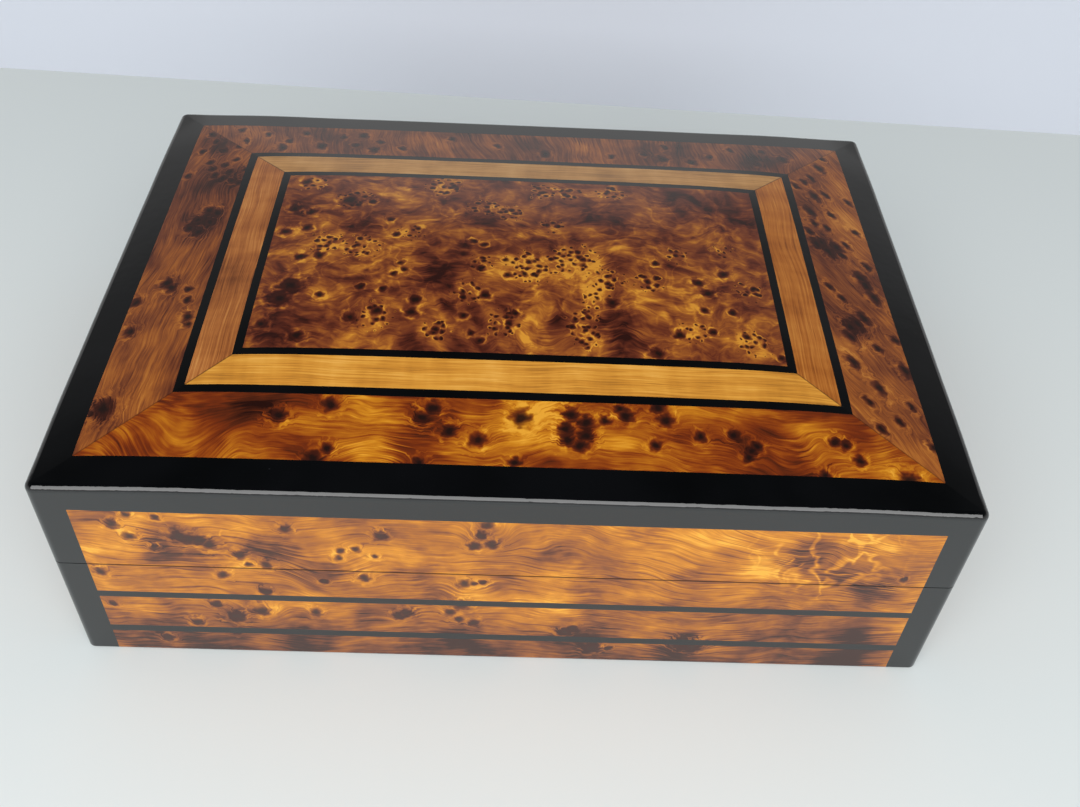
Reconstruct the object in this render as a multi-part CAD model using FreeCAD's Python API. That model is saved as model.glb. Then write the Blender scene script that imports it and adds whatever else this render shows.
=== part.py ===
"""Keepsake box with a hinged, pillow-topped lid, veneered in burl with black edging.

Millimetres. X runs along the front, Y towards the back, Z up. The origin is the middle of the
underside, on the surface that the box stands on.
"""
import FreeCAD, Part
import math
import os

V = FreeCAD.Vector
X_AXIS = V(1, 0, 0)
Z_AXIS = V(0, 0, 1)

# Outer size, and the height where the lid leaves the base
width = 300.0
depth = 218.0
edge_height = 88.5
parting_height = 50.0
parting_gap = 0.3

# Pillow of the lid: slope of its borders, softness of its crown and of its hips
pillow_slope = 0.123
crown_softness = 32.0
hip_softness = 26.0
pillow_point_spacing = 16.0
pillow_margin = 6.0

# Walls: boards of plain wood with veneer outside and a cloth-covered card inside
wall_thickness = 11.3
veneer = 1.0
glue_line = 0.05
lining = 1.5
lining_clearance = 0.15
lining_lip = 2.5
lining_setback = 0.5

# Solid black edging at the corners and round the lid
post_tongue_thickness = 4.0
post_tongue_length = 3.0
tongue_clearance = 0.05
corner_radius = 3.0
lid_arris_radius = 2.4
foot_arris_radius = 0.8
lid_rail_drop = 11.0
lid_rail_width = 12.4

# Lid panel: a flange rests on the walls, and the edging sits in the rebate above it
flange_height = 4.5
flange_cover = 6.4

# Bands of the lid's marquetry, from the edging inwards
lid_burl_width = 25.7
lid_outer_string_width = 3.3
lid_pale_width = 13.1
lid_inner_string_width = 3.1

# Lines of the walls' marquetry, from the foot upwards
foot_clearance = 0.4
low_string_height = 11.8
low_string_width = 3.3
high_string_height = 32.0
high_string_width = 3.1

# Bottom panel in the walls' rebate, with felt under it and a covered card on it
bottom_thickness = 6.0
bottom_rebate = 5.0
bottom_clearance = 0.1
felt_thickness = 1.6
floor_lining = 2.0

# Brass stop hinges, let into the back walls where lid and base meet
hinge_inset = 60.0
hinge_length = 40.0
hinge_pivot_outset = 0.5
knuckle_radius = 2.6
middle_knuckle_length = 14.0
knuckle_end_gap = 0.2
knuckle_clearance = 0.15
pin_radius = 1.2
pin_clearance = 0.05
pin_overhang = 0.4
leaf_width = 9.2
leaf_thickness = 1.5
leaf_clearance = 0.1
stop_thickness = 1.3
stop_length = 6.0
opening_angle = 100.0
stop_play_angle = 0.6
lid_stop_angle = 52.0
lid_stop_span = 28.0

# Countersunk brass screws of the hinge leaves
screw_spacing = 14.0
screw_setback = 6.0
screw_head_radius = 2.0
screw_shank_radius = 0.9
screw_head_depth = 1.0
screw_length = 9.0
screw_slot_width = 0.5
screw_slot_depth = 0.4
screw_clearance = 0.05

# What follows from these sizes
half_width = width / 2
half_depth = depth / 2
base_top = parting_height - parting_gap / 2
lid_bottom = parting_height + parting_gap / 2
rail_bottom = edge_height - lid_rail_drop
flange_top = rail_bottom + flange_height
flange_inset = lid_rail_width - flange_cover
bottom_inset = wall_thickness - bottom_rebate
bottom_top = felt_thickness + bottom_thickness
floor_top = bottom_top + floor_lining
lip_top = lid_bottom + lining_lip
ceiling = rail_bottom - lining
above_lid = edge_height + pillow_slope * half_depth + pillow_margin
outer_string_inset = lid_rail_width + lid_burl_width
pale_inset = outer_string_inset + lid_outer_string_width
inner_string_inset = pale_inset + lid_pale_width
centre_inset = inner_string_inset + lid_inner_string_width
pivot_y = half_depth + hinge_pivot_outset
pivot_z = parting_height
hinge_centres = (hinge_inset - half_width, half_width - hinge_inset)
stop_radius = knuckle_radius + knuckle_clearance + stop_thickness

SIDES = ("front", "back", "left", "right")
CORNERS = {
    "front_left": (-1, -1),
    "front_right": (1, -1),
    "back_left": (-1, 1),
    "back_right": (1, 1),
}


def block(x_range, y_range, z_range):
    """Square-edged solid between two limits on each axis."""
    low = V(x_range[0], y_range[0], z_range[0])
    return Part.makeBox(x_range[1] - low.x, y_range[1] - low.y, z_range[1] - low.z, low)


def inset_block(inset, z_range):
    """Block that lies the same distance in from all four outer faces."""
    x = half_width - inset
    y = half_depth - inset
    return block((-x, x), (-y, y), z_range)


def prism(corners, z_range):
    """Upright solid on a plan outline."""
    points = [V(x, y, z_range[0]) for x, y in corners]
    outline = Part.makePolygon(points + points[:1])
    return Part.Face(outline).extrude(V(0, 0, z_range[1] - z_range[0]))


def wall_slab(side, outer_inset, inner_inset, end_inset, z_range):
    """Upright slab along one side, between two insets from its outer face."""
    if side in ("front", "back"):
        x = half_width - end_inset
        near = half_depth - outer_inset
        far = half_depth - inner_inset
        y_range = (-near, -far) if side == "front" else (far, near)
        return block((-x, x), y_range, z_range)
    y = half_depth - end_inset
    near = half_width - outer_inset
    far = half_width - inner_inset
    x_range = (-near, -far) if side == "left" else (far, near)
    return block(x_range, (-y, y), z_range)


def mitred_plan(side, outer_inset, inner_inset):
    """Plan corners of one side of a mitred frame."""
    ax = half_width - outer_inset
    ay = half_depth - outer_inset
    bx = half_width - inner_inset
    by = half_depth - inner_inset
    return {
        "front": [(-ax, -ay), (ax, -ay), (bx, -by), (-bx, -by)],
        "back": [(-ax, ay), (ax, ay), (bx, by), (-bx, by)],
        "left": [(-ax, -ay), (-ax, ay), (-bx, by), (-bx, -by)],
        "right": [(ax, -ay), (ax, ay), (bx, by), (bx, -by)],
    }[side]


def joined(solids):
    """One solid from pieces that overlap or touch."""
    whole = solids[0].fuse(solids[1:]).removeSplitter()
    return whole.Solids[0] if len(whole.Solids) == 1 else whole


# Pillow surface of the lid

def soft_inset(position, half_size):
    """Distance in from an edge, which levels out towards the middle."""
    run = math.hypot(position, crown_softness) - crown_softness
    full_run = math.hypot(half_size, crown_softness) - crown_softness
    return half_size * (1 - run / full_run)


def pillow_height(x, y):
    from_end = soft_inset(x, half_width)
    from_side = soft_inset(y, half_depth)
    nearest = (from_end + from_side - math.hypot(from_end - from_side, hip_softness)) / 2
    return edge_height + pillow_slope * nearest


def spread(half_size):
    """Evenly spaced positions across the lid and a little past its edges."""
    steps = 2 * math.ceil(half_size / pillow_point_spacing)
    reach = half_size + pillow_margin
    return [reach * (2 * i / steps - 1) for i in range(steps + 1)]


def pillow_face(drop):
    """The lid's top surface, lowered by a depth."""
    grid = [[V(x, y, pillow_height(x, y) - drop) for y in spread(half_depth)] for x in spread(half_width)]
    surface = Part.BSplineSurface()
    surface.interpolate(grid)
    return surface.toShape()


veneer_sheet = pillow_face(veneer).extrude(V(0, 0, veneer))
under_pillow = pillow_face(0).extrude(V(0, 0, -edge_height))
under_veneer = pillow_face(veneer + glue_line).extrude(V(0, 0, -edge_height))


def veneer_piece(plan):
    """A piece of the lid's marquetry: its plan cut out of the veneer sheet."""
    return prism(plan, (flange_top, above_lid)).common(veneer_sheet).Solids[0]


# Boards, corner posts and wall veneers

def board(side, z_range):
    """Wall board with a tongue along each end."""
    slab = wall_slab(side, veneer, wall_thickness, wall_thickness, z_range)
    return joined([slab, tongue(side, z_range, 0)])


def tongue(side, z_range, clearance):
    """Tongue of a wall board, which runs right through to both ends."""
    middle = (veneer + wall_thickness) / 2
    half = post_tongue_thickness / 2 + clearance
    end = wall_thickness - post_tongue_length - clearance
    return wall_slab(side, middle - half, middle + half, end, z_range)


def corner_post(corner, z_range, foot):
    """Square black post with a rounded outer edge and grooves for the boards' tongues."""
    sx, sy = CORNERS[corner]
    x_range = sorted((sx * half_width, sx * (half_width - wall_thickness)))
    y_range = sorted((sy * half_depth, sy * (half_depth - wall_thickness)))
    post = block(x_range, y_range, z_range)
    outer = [e for e in post.Edges if is_upright_at(e, sx * half_width, sy * half_depth)]
    post = post.makeFillet(corner_radius, outer)
    if foot:
        post = post.makeFillet(foot_arris_radius, [e for e in post.Edges if is_foot_edge(e)])
    for side in SIDES:
        post = post.cut(tongue(side, z_range, tongue_clearance))
    return post.Solids[0]


def is_upright_at(edge, x, y):
    return all(math.hypot(v.X - x, v.Y - y) < glue_line for v in edge.Vertexes)


def is_foot_edge(edge):
    """True for an outer edge at the foot of the walls."""
    on_face = [
        abs(v.Z - foot_clearance) < glue_line
        and (half_width - abs(v.X) < corner_radius + glue_line and half_depth - abs(v.Y) < glue_line
             or half_width - abs(v.X) < glue_line and half_depth - abs(v.Y) < corner_radius + glue_line
             or half_width - abs(v.X) < glue_line
             or half_depth - abs(v.Y) < glue_line)
        for v in edge.Vertexes
    ]
    return all(on_face) and edge.CenterOfMass.z < foot_clearance + glue_line


def wall_veneer(side, z_range):
    return wall_slab(side, 0, veneer, wall_thickness, z_range)


def rounded_foot(strip):
    """The lowest veneer strip, with its outer bottom edge eased like the posts'."""
    return strip.makeFillet(foot_arris_radius, [e for e in strip.Edges if is_foot_edge(e)])


# Hinges

def barrel(radius, x_range):
    """Cylinder on the hinge axis."""
    return Part.makeCylinder(radius, x_range[1] - x_range[0], V(x_range[0], pivot_y, pivot_z), X_AXIS)


def hinge_spans(centre):
    """Along X: the whole hinge, its first and last knuckles, and its middle one."""
    ends = (centre - hinge_length / 2, centre + hinge_length / 2)
    middle = (centre - middle_knuckle_length / 2, centre + middle_knuckle_length / 2)
    first = (ends[0], middle[0] - knuckle_end_gap)
    last = (middle[1] + knuckle_end_gap, ends[1])
    return ends, first, middle, last


def leaf_plate(centre, side_of_joint, clearance=0.0):
    """Flat leaf from the hinge axis into the wall, above (1) or below (-1) the joint."""
    ends = hinge_spans(centre)[0]
    near = side_of_joint * parting_gap / 2
    far = near + side_of_joint * (leaf_thickness + clearance)
    x_range = (ends[0] - clearance, ends[1] + clearance)
    y_range = (pivot_y - leaf_width - clearance, pivot_y)
    return block(x_range, y_range, sorted((pivot_z + near, pivot_z + far)))


def sector(radii, angles, x_range):
    """Part of a tube round the hinge axis. Angles in degrees from +Y, upwards."""
    steps = [math.radians(angles[0] + (angles[1] - angles[0]) * i / 2) for i in range(3)]
    inner, outer = [[V(x_range[0], pivot_y + r * math.cos(a), pivot_z + r * math.sin(a)) for a in steps]
                    for r in radii]
    outline = Part.Wire([
        Part.Arc(*inner).toShape(),
        Part.LineSegment(inner[2], outer[2]).toShape(),
        Part.Arc(*reversed(outer)).toShape(),
        Part.LineSegment(outer[0], inner[0]).toShape(),
    ])
    return Part.Face(outline).extrude(V(x_range[1] - x_range[0], 0, 0))


def stop_span(centre):
    return (centre - stop_length / 2, centre + stop_length / 2)


def screw_places(centre):
    return [(centre + i * screw_spacing, pivot_y - screw_setback) for i in (-1, 0, 1)]


def screw(x, y, direction, grow=0.0):
    """Countersunk screw whose head is flush with a leaf, driven up (1) or down (-1)."""
    head = V(x, y, pivot_z + direction * parting_gap / 2)
    way = Z_AXIS * direction
    cone = Part.makeCone(screw_head_radius + grow, screw_shank_radius + grow, screw_head_depth, head, way)
    shank_length = screw_length - screw_head_depth
    shank = Part.makeCylinder(screw_shank_radius + grow, shank_length, head + way * screw_head_depth, way)
    return joined([cone, shank])


def slotted_screw(x, y, direction):
    head_z = pivot_z + direction * parting_gap / 2
    slot_z = sorted((head_z, head_z + direction * screw_slot_depth))
    slot_x = (x - screw_slot_width / 2, x + screw_slot_width / 2)
    slot = block(slot_x, (y - screw_head_radius, y + screw_head_radius), slot_z)
    return screw(x, y, direction).cut(slot).Solids[0]


def drilled(plate, centre, direction):
    """Leaf with its countersunk screw holes."""
    for x, y in screw_places(centre):
        plate = plate.cut(screw(x, y, direction, screw_clearance))
    return plate


def base_leaf(centre):
    """Leaf in the base, with the outer knuckles and the hook that stops the lid."""
    ends, first, middle, last = hinge_spans(centre)
    ring = barrel(knuckle_radius, first).fuse(barrel(knuckle_radius, last))
    gap_span = (first[1], last[0])
    plate = leaf_plate(centre, -1).cut(barrel(knuckle_radius + knuckle_clearance, gap_span))
    hook_end = lid_stop_angle - opening_angle - stop_play_angle
    hook = sector((knuckle_radius + knuckle_clearance, stop_radius), (-180, hook_end), stop_span(centre))
    hook = hook.common(block(ends, (0, depth), (0, base_top)))
    whole = joined([plate, ring, hook])
    return drilled(whole.cut(barrel(pin_radius + pin_clearance, ends)), centre, -1).Solids[0]


def lid_leaf(centre):
    """Leaf in the lid, with the middle knuckle and the stop lug behind it."""
    ends, first, middle, last = hinge_spans(centre)
    plate = leaf_plate(centre, 1)
    for span in ((first[0], first[1] + knuckle_end_gap), (last[0] - knuckle_end_gap, last[1])):
        plate = plate.cut(barrel(knuckle_radius + knuckle_clearance, span))
    lug_angles = (lid_stop_angle, lid_stop_angle + lid_stop_span)
    lug = sector((pin_radius + pin_clearance, stop_radius), lug_angles, stop_span(centre))
    whole = joined([plate, barrel(knuckle_radius, middle), lug])
    return drilled(whole.cut(barrel(pin_radius + pin_clearance, ends)), centre, 1).Solids[0]


def hinge_pin(centre):
    ends = hinge_spans(centre)[0]
    return barrel(pin_radius, (ends[0] - pin_overhang, ends[1] + pin_overhang))


def hinge_seat(centre, direction):
    """What the back wall gives up to one hinge, above (1) or below (-1) the joint."""
    ends, first, middle, last = hinge_spans(centre)
    along = (ends[0] - leaf_clearance, ends[1] + leaf_clearance)
    barrel_room = barrel(knuckle_radius + knuckle_clearance, (along[0] - pin_overhang, along[1] + pin_overhang))
    cutters = [leaf_plate(centre, direction, leaf_clearance), barrel_room]
    if direction < 0:
        span = stop_span(centre)
        cutters.append(barrel(stop_radius + leaf_clearance, (span[0] - leaf_clearance, span[1] + leaf_clearance)))
    cutters += [screw(x, y, direction, 0.0) for x, y in screw_places(centre)]
    return cutters


def seated(solid, direction):
    """Back wall piece with both hinges let in."""
    for centre in hinge_centres:
        for cutter in hinge_seat(centre, direction):
            solid = solid.cut(cutter)
    return solid.Solids[0]


# Base

base_walls = (foot_clearance, base_top)
bottom_room = inset_block(bottom_inset - bottom_clearance, (0, bottom_top))
strip_heights = {
    "lower": (foot_clearance, low_string_height),
    "middle": (low_string_height + low_string_width, high_string_height),
    "upper": (high_string_height + high_string_width, base_top),
}
string_heights = (
    (low_string_height, low_string_height + low_string_width),
    (high_string_height, high_string_height + high_string_width),
)


def make_base():
    pieces = {}
    for side in SIDES:
        wall = board(side, base_walls).cut(bottom_room)
        pieces[f"base_{side}_board"] = seated(wall, -1) if side == "back" else wall.Solids[0]
        for level, heights in strip_heights.items():
            strip = wall_veneer(side, heights)
            if level == "lower":
                strip = rounded_foot(strip)
            if level == "upper" and side == "back":
                strip = seated(strip, -1)
            pieces[f"base_{side}_{level}_burl"] = strip
    for corner in CORNERS:
        post = corner_post(corner, base_walls, foot=True).cut(bottom_room)
        pieces[f"base_{corner}_post"] = post.Solids[0]
    pieces["base_stringing"] = [wall_veneer(side, heights) for side in SIDES for heights in string_heights]
    pieces["bottom_panel"] = inset_block(bottom_inset, (felt_thickness, bottom_top))
    pieces["underside_felt"] = inset_block(bottom_inset, (0, felt_thickness))
    pieces["floor_lining"] = inset_block(wall_thickness, (bottom_top, floor_top))
    pieces["base_wall_lining"] = wall_lining((floor_top, lip_top))
    return pieces


def wall_lining(z_range):
    """Four covered cards against the walls. Those of the base stand up into the lid as a lip."""
    outer = wall_thickness + lining_clearance
    inner = outer + lining
    long_cards = [wall_slab(side, outer, inner, outer, z_range) for side in ("front", "back")]
    short_cards = [wall_slab(side, outer, inner, inner, z_range) for side in ("left", "right")]
    return long_cards + short_cards


# Lid

lid_walls = (lid_bottom, rail_bottom)


def make_lid():
    pieces = {}
    for side in SIDES:
        wall = board(side, lid_walls)
        skin = wall_veneer(side, lid_walls)
        if side == "back":
            wall = seated(wall, 1)
            skin = seated(skin, 1)
        pieces[f"lid_{side}_board"] = wall
        pieces[f"lid_{side}_burl"] = skin
    for corner in CORNERS:
        pieces[f"lid_{corner}_post"] = corner_post(corner, lid_walls, foot=False)
    pieces["lid_panel"] = lid_panel()
    pieces.update(lid_rails())
    strings = []
    for side in SIDES:
        band = mitred_plan(side, lid_rail_width, outer_string_inset)
        pieces[f"lid_{side}_burl_band"] = veneer_piece(band)
        strings.append(veneer_piece(mitred_plan(side, outer_string_inset, pale_inset)))
        pieces[f"lid_{side}_pale_band"] = veneer_piece(mitred_plan(side, pale_inset, inner_string_inset))
        strings.append(veneer_piece(mitred_plan(side, inner_string_inset, centre_inset)))
    pieces["lid_stringing"] = strings
    centre_front = mitred_plan("front", centre_inset, centre_inset)[:2]
    centre_back = mitred_plan("back", centre_inset, centre_inset)[1::-1]
    pieces["lid_centre_burl"] = veneer_piece(centre_front + centre_back)
    pieces["ceiling_lining"] = inset_block(wall_thickness, (ceiling, rail_bottom))
    pieces["lid_wall_lining"] = wall_lining((lip_top + lining_setback, ceiling))
    return pieces


def lid_panel():
    """Domed panel whose flange rests on the lid's walls."""
    flange = inset_block(flange_inset, (rail_bottom, flange_top))
    crown = inset_block(lid_rail_width, (rail_bottom, above_lid)).common(under_veneer)
    return joined([flange, crown])


def lid_rails():
    """Four mitred black rails with a rounded arris, which cover the panel's flange."""
    frame = inset_block(0, (rail_bottom, above_lid))
    uprights = [e for e in frame.Edges
                if any(is_upright_at(e, sx * half_width, sy * half_depth) for sx, sy in CORNERS.values())]
    frame = frame.makeFillet(corner_radius, uprights).common(under_pillow).Solids[0]
    frame = frame.makeFillet(lid_arris_radius, [e for e in frame.Edges if is_lid_arris(e)])
    frame = frame.cut(inset_block(lid_rail_width, (rail_bottom - 1, above_lid)))
    frame = frame.cut(inset_block(flange_inset, (rail_bottom - 1, flange_top)))
    mitre_reach = (-1.0, lid_rail_width + 1.0)
    return {
        f"lid_{side}_rail": frame.common(prism(mitred_plan(side, *mitre_reach), (0, above_lid))).Solids[0]
        for side in SIDES
    }


def is_lid_arris(edge):
    """True for an outer edge round the top of the lid."""
    middle = edge.valueAt((edge.FirstParameter + edge.LastParameter) / 2)
    outside = half_width - abs(middle.x) < corner_radius or half_depth - abs(middle.y) < corner_radius
    level = abs(edge.Vertexes[0].Z - edge.Vertexes[-1].Z) < corner_radius
    return outside and level and middle.z > flange_top


# Hinges in pairs

def make_hinges():
    screws = [(x, y) for centre in hinge_centres for x, y in screw_places(centre)]
    return {
        "base_hinge_leaves": [base_leaf(centre) for centre in hinge_centres],
        "lid_hinge_leaves": [lid_leaf(centre) for centre in hinge_centres],
        "hinge_pins": [hinge_pin(centre) for centre in hinge_centres],
        "base_hinge_screws": [slotted_screw(x, y, -1) for x, y in screws],
        "lid_hinge_screws": [slotted_screw(x, y, 1) for x, y in screws],
    }


def main():
    os.makedirs("parts", exist_ok=True)
    pieces = {**make_base(), **make_lid(), **make_hinges()}
    for node, shape in pieces.items():
        if isinstance(shape, list):
            shape = Part.makeCompound(shape)
        bad = [s for s in shape.Solids if not s.isValid() or s.Volume <= 0]
        print(f"{node}: {len(shape.Solids)} solid(s), {shape.Volume:.1f} mm3{', NOT VALID' if bad else ''}")
        shape.exportStep(f"parts/{node}.step")
    print(len(pieces), "nodes")


main()
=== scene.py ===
import math

import bmesh
import bpy
from mathutils import Matrix, Vector


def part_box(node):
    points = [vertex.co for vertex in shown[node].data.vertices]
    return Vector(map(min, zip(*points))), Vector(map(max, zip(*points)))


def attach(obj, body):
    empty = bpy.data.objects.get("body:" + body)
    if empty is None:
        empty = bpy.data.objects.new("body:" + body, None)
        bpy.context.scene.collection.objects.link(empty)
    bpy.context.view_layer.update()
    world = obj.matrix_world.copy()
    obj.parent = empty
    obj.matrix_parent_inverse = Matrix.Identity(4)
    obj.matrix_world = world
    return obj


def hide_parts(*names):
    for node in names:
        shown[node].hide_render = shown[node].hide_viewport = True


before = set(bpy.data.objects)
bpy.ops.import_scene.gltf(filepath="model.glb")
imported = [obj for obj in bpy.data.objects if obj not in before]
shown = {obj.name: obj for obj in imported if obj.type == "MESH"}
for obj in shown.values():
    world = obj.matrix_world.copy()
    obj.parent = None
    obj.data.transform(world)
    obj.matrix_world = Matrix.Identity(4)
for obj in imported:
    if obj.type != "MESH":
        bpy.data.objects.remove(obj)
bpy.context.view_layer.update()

MM = 0.001
SIDES = ("front", "back", "left", "right")


# Camera, fitted to the box's edges and inlaid lines in the photograph

PHOTO_WIDTH = 1080
FOCAL_PIXELS = 1132.0
SENSOR_WIDTH = 36.0
CLIP_START = 0.02
CAMERA_PLACE = (-0.0032, -0.3344, 0.3556)
CAMERA_TURN = (45.07, -2.56, 0.12)


def make_camera():
    camera = bpy.data.objects.new("camera", bpy.data.cameras.new("camera"))
    camera.data.sensor_fit = "HORIZONTAL"
    camera.data.sensor_width = SENSOR_WIDTH
    camera.data.lens = SENSOR_WIDTH * FOCAL_PIXELS / PHOTO_WIDTH
    camera.data.clip_start = CLIP_START
    camera.location = CAMERA_PLACE
    camera.rotation_euler = [math.radians(angle) for angle in CAMERA_TURN]
    bpy.context.collection.objects.link(camera)
    bpy.context.scene.camera = camera
    bpy.context.scene.view_settings.view_transform = "Standard"


# Small helpers for materials

def colour(code):
    """The linear colour of an sRGB hex value."""
    parts = [int(code[place:place + 2], 16) / 255 for place in (1, 3, 5)]
    return [c / 12.92 if c <= 0.04045 else ((c + 0.055) / 1.055) ** 2.4 for c in parts] + [1.0]


def add(tree, kind, inputs=(), out=0, stops=(), **settings):
    """Adds a node with its settings and links, and gives one of its outputs.

    inputs holds a link or a value for each input, in order or by name. stops are a colour ramp's places
    in rising order, each with an sRGB hex value or a grey level.
    """
    made = tree.nodes.new("ShaderNode" + kind)
    for name, value in settings.items():
        setattr(made, name, value)
    for place, value in inputs.items() if isinstance(inputs, dict) else enumerate(inputs):
        if isinstance(value, bpy.types.NodeSocket):
            tree.links.new(value, made.inputs[place])
        else:
            made.inputs[place].default_value = value
    for number, (place, tone) in enumerate(stops):
        points = made.color_ramp.elements
        point = points[number] if number < len(points) else points.new(place)
        point.position = place
        point.color = colour(tone) if isinstance(tone, str) else [tone, tone, tone, 1.0]
    return made.outputs[out] if made.outputs else made


def start_material(name, surface):
    """A new material with a Principled shader, whose plain values are set on its own sockets."""
    material = bpy.data.materials.new(name)
    material.use_nodes = True
    tree = material.node_tree
    tree.nodes.clear()
    shader = add(tree, "BsdfPrincipled", surface).node
    add(tree, "OutputMaterial", [shader.outputs[0]])
    return material, tree, shader


def object_mm(tree):
    """Object coordinates in millimetres."""
    place = add(tree, "TexCoord", out="Object")
    return add(tree, "VectorMath", {0: place, "Scale": 1 / MM}, operation="SCALE")


# The two axes that lie in a panel
TOP_PLANE = (0, 1)
LONG_WALL = (0, 2)
SHORT_WALL = (1, 2)


def flat_coordinates(tree, plane):
    """A panel's own plane in millimetres."""
    across, up = plane
    axes = add(tree, "SeparateXYZ", [object_mm(tree)]).node
    return add(tree, "CombineXYZ", [axes.outputs[across], axes.outputs[up], 0.0])


def warped(tree, place, wavelength, reach, seed):
    """place pushed about by smooth noise of that wavelength and reach, in millimetres."""
    moved = add(tree, "VectorMath", [place, (0.0, 0.0, seed)], operation="ADD")
    noise = add(tree, "TexNoise", {"Vector": moved, "Scale": 1 / wavelength, "Detail": 1.0}, out="Color")
    centred = add(tree, "VectorMath", [noise, (0.5, 0.5, 0.5)], operation="SUBTRACT")
    push = add(tree, "VectorMath", {0: centred, "Scale": 2 * reach}, operation="SCALE")
    flat = add(tree, "VectorMath", [push, (1.0, 1.0, 0.0)], operation="MULTIPLY")
    return add(tree, "VectorMath", [place, flat], operation="ADD")


def figured(tree, place, figure, tone, seed=None):
    """tone moved by each pattern of a figure: its size along and across, its detail and its share."""
    for long, wide, detail, share in figure:
        scaled = add(tree, "VectorMath", [place, (1 / long, 1 / wide, 1.0)], operation="MULTIPLY")
        if seed is not None:
            scaled = add(tree, "VectorMath", [scaled, (0.0, 0.0, seed + long)], operation="ADD")
        noise = add(tree, "TexNoise", {"Vector": scaled, "Scale": 1.0, "Detail": detail})
        centred = add(tree, "Math", [noise, 0.5], operation="SUBTRACT")
        tone = add(tree, "Math", [centred, share, tone], operation="MULTIPLY_ADD")
    return tone


def spots_sum(tree, place, spots, start=0.0):
    """start plus each spot's strength, which fades smoothly to nothing at its radius."""
    total = start
    for x, y, radius, strength in spots:
        away = add(tree, "VectorMath", [place, (x, y, 0.0)], out="Value", operation="DISTANCE")
        fade = add(
            tree, "MapRange", [away, 0.0, radius, strength, 0.0], interpolation_type="SMOOTHERSTEP")
        total = add(tree, "Math", [total, fade], operation="ADD")
    return total


# Clear lacquer: polyester, sprayed, flatted and buffed. It gives the eye a deep gloss with a faint wave.

LACQUER = {
    "Roughness": 0.5,
    "Specular IOR Level": 0.1,
    "Coat Weight": 1.0,
    "Coat Roughness": 0.03,
    "Coat IOR": 1.48,
}
FILM_WAVE = 3.5
FILM_DEPTH = 0.012


def polish(tree, shader):
    """The faint waviness of a sprayed and buffed coat, a few millimetres from crest to crest."""
    peel = add(tree, "TexNoise", {"Vector": object_mm(tree), "Scale": 1 / FILM_WAVE, "Detail": 1.0})
    bump = add(tree, "Bump", {"Strength": 1.0, "Distance": FILM_DEPTH * MM, "Height": peel})
    for name in ("Normal", "Coat Normal"):
        tree.links.new(bump, shader.inputs[name])


# Dark hairlines: glue lines between sheets of veneer, and painted shade along the seam between base and lid

# Along each mitre of the lid, x is this much further from the middle than y
MITRE = 41.0
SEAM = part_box("base_front_upper_burl")[1].z / MM
HAIRLINE = 0.22
# The dark of the glue lines at the mitres, also used as painted shade along the seam between base and lid
GLUE_LINE_AND_SEAM_SHADE = "#1C0F08"


def glue_line_and_seam_shade(tree, wood, across, place, strength):
    """Darkens wood along the hairline where across, in millimetres, equals place."""
    off = add(tree, "Math", [across, place], operation="SUBTRACT")
    off = add(tree, "Math", [off], operation="ABSOLUTE")
    joint = add(tree, "MapRange", [off, HAIRLINE, 2 * HAIRLINE, strength, 0.0])
    return add(tree, "Mix", {0: joint, 6: wood, 7: colour(GLUE_LINE_AND_SEAM_SHADE)}, out=2, data_type="RGBA")


def mitred(tree, flat, wood, strength=0.45):
    """Darkens wood along the four mitres, where one band meets the next."""
    axes = add(tree, "SeparateXYZ", [add(tree, "VectorMath", [flat], operation="ABSOLUTE")]).node
    diagonal = add(tree, "Math", [axes.outputs[0], axes.outputs[1]], operation="SUBTRACT")
    return glue_line_and_seam_shade(tree, wood, diagonal, MITRE, strength)


def shaded_seam(tree, flat, wood, strength=0.7):
    """Darkens wood along the seam between the base and the lid: painted shade where they meet."""
    height = add(tree, "SeparateXYZ", [flat], out="Y")
    return glue_line_and_seam_shade(tree, wood, height, SEAM, strength)


# Burl veneer: thuya root, sliced and lacquered. It gives the eye dark eyes with brown rings and light
# lips, in a figure that runs from red-brown to gold. All sizes below are in millimetres.

# Each set of tints runs from the eyes' surrounds to the brightest figure
TINT_PLACES = (0.0, 0.2, 0.38, 0.53, 0.68, 0.84, 1.0)
CENTRE_TINTS = ("#2E100A", "#4E1F12", "#6A301A", "#82421E", "#9C5721", "#BA7226", "#DA9430")
FRONT_TINTS = ("#260B05", "#52200A", "#762D08", "#94440A", "#B06210", "#CE8218", "#EAA432")
BORDER_TINTS = ("#240F0A", "#431E13", "#64301A", "#7E421F", "#985422", "#AE6728", "#C88236")
WALL_TINTS = ("#38190F", "#6C371B", "#90501E", "#AC6414", "#C37712", "#D88B18", "#F0AC34")
EYE_RING = "#43190D"
DARK_PITH = "#1A0E0B"
BROWN_PITH = "#3A2016"

# Each pattern of a figure has its size along and across the grain, its detail, and how far it moves the
# tone. Real fibres are some hundredths of a millimetre wide. They are drawn in bundles of 0.45, to show.
FRONT_FIGURE = ((20.0, 9.0, 3.0, 0.8), (9.0, 3.0, 2.0, 0.35), (60.0, 1.1, 1.0, 0.3), (7.0, 0.45, 2.0, 0.28))
BORDER_FIGURE = ((24.0, 7.0, 3.0, 0.7), (9.0, 2.0, 2.0, 0.3), (50.0, 0.8, 2.0, 0.6), (7.0, 0.45, 2.0, 0.4))
CENTRE_FIGURE = ((8.0, 7.0, 3.0, 1.3), (4.5, 3.4, 2.0, 0.75), (30.0, 1.2, 1.0, 0.12), (3.0, 0.45, 2.0, 0.28))
WALL_FIGURE = ((13.0, 8.0, 3.0, 0.85), (6.0, 3.2, 2.0, 0.32), (60.0, 1.1, 1.0, 0.4), (6.0, 0.45, 2.0, 0.36))

# Each push of the grain has its wavelength and its reach
PLAIN_DRIFT = ((60.0, 14.0), (17.0, 2.8))
BORDER_DRIFT = ((60.0, 9.0), (15.0, 1.6))
CENTRE_DRIFT = ((50.0, 12.0), (16.0, 6.0), (6.0, 2.2))

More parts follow.
